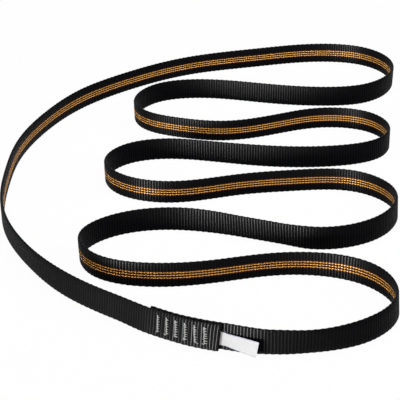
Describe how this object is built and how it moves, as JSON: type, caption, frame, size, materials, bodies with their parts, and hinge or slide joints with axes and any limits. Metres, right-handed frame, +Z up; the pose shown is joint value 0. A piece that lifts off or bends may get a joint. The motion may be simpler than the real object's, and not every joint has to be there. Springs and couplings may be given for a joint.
{
  "type": "climbing loop sling",
  "caption": "Sewn webbing sling laid out on its edge as one long closed loop in serpentine lobes, lapped and bar-tacked at the front, with a folded cloth label at the lap.",
  "frame": {"origin": "on the ground, under the middle of the laid-out loop's box", "axes": "+Z up across the width of the standing tape, +Y along the laid-out loop away from the sewn lap, +X to the right towards the closed ends of the lobes"},
  "size_m": [0.3096, 0.5312, 0.016],
  "materials": {
    "black_tape": "ribbed black woven webbing, matt, with a woven gold and rust stripe on its inner face",
    "grey_thread": "bonded light grey sewing thread",
    "white_cloth": "smooth white label cloth"
  },
  "bodies": {
    "sling": {"webbing": "black_tape", "bar_tack_1_needle_thread": "grey_thread", "bar_tack_2_needle_thread": "grey_thread", "bar_tack_3_needle_thread": "grey_thread", "bar_tack_4_needle_thread": "grey_thread", "bar_tack_5_needle_thread": "grey_thread", "bar_tack_6_needle_thread": "grey_thread", "bar_tack_1_bobbin_thread": "grey_thread", "bar_tack_2_bobbin_thread": "grey_thread", "bar_tack_3_bobbin_thread": "grey_thread", "bar_tack_4_bobbin_thread": "grey_thread", "bar_tack_5_bobbin_thread": "grey_thread", "bar_tack_6_bobbin_thread": "grey_thread", "label_root": "white_cloth"},
    "label": {"label_flap": "white_cloth"}
  },
  "joints": [
    {"name": "label_fold", "type": "hinge", "parent": "sling", "child": "label", "pos_m": [0.00026, -0.25199, 0.00713], "axis": [-0.1152, -0.1263, -0.9853], "range_deg": [-10, 75], "stiffness_Nm_per_rad": 0.0001}
  ]
}
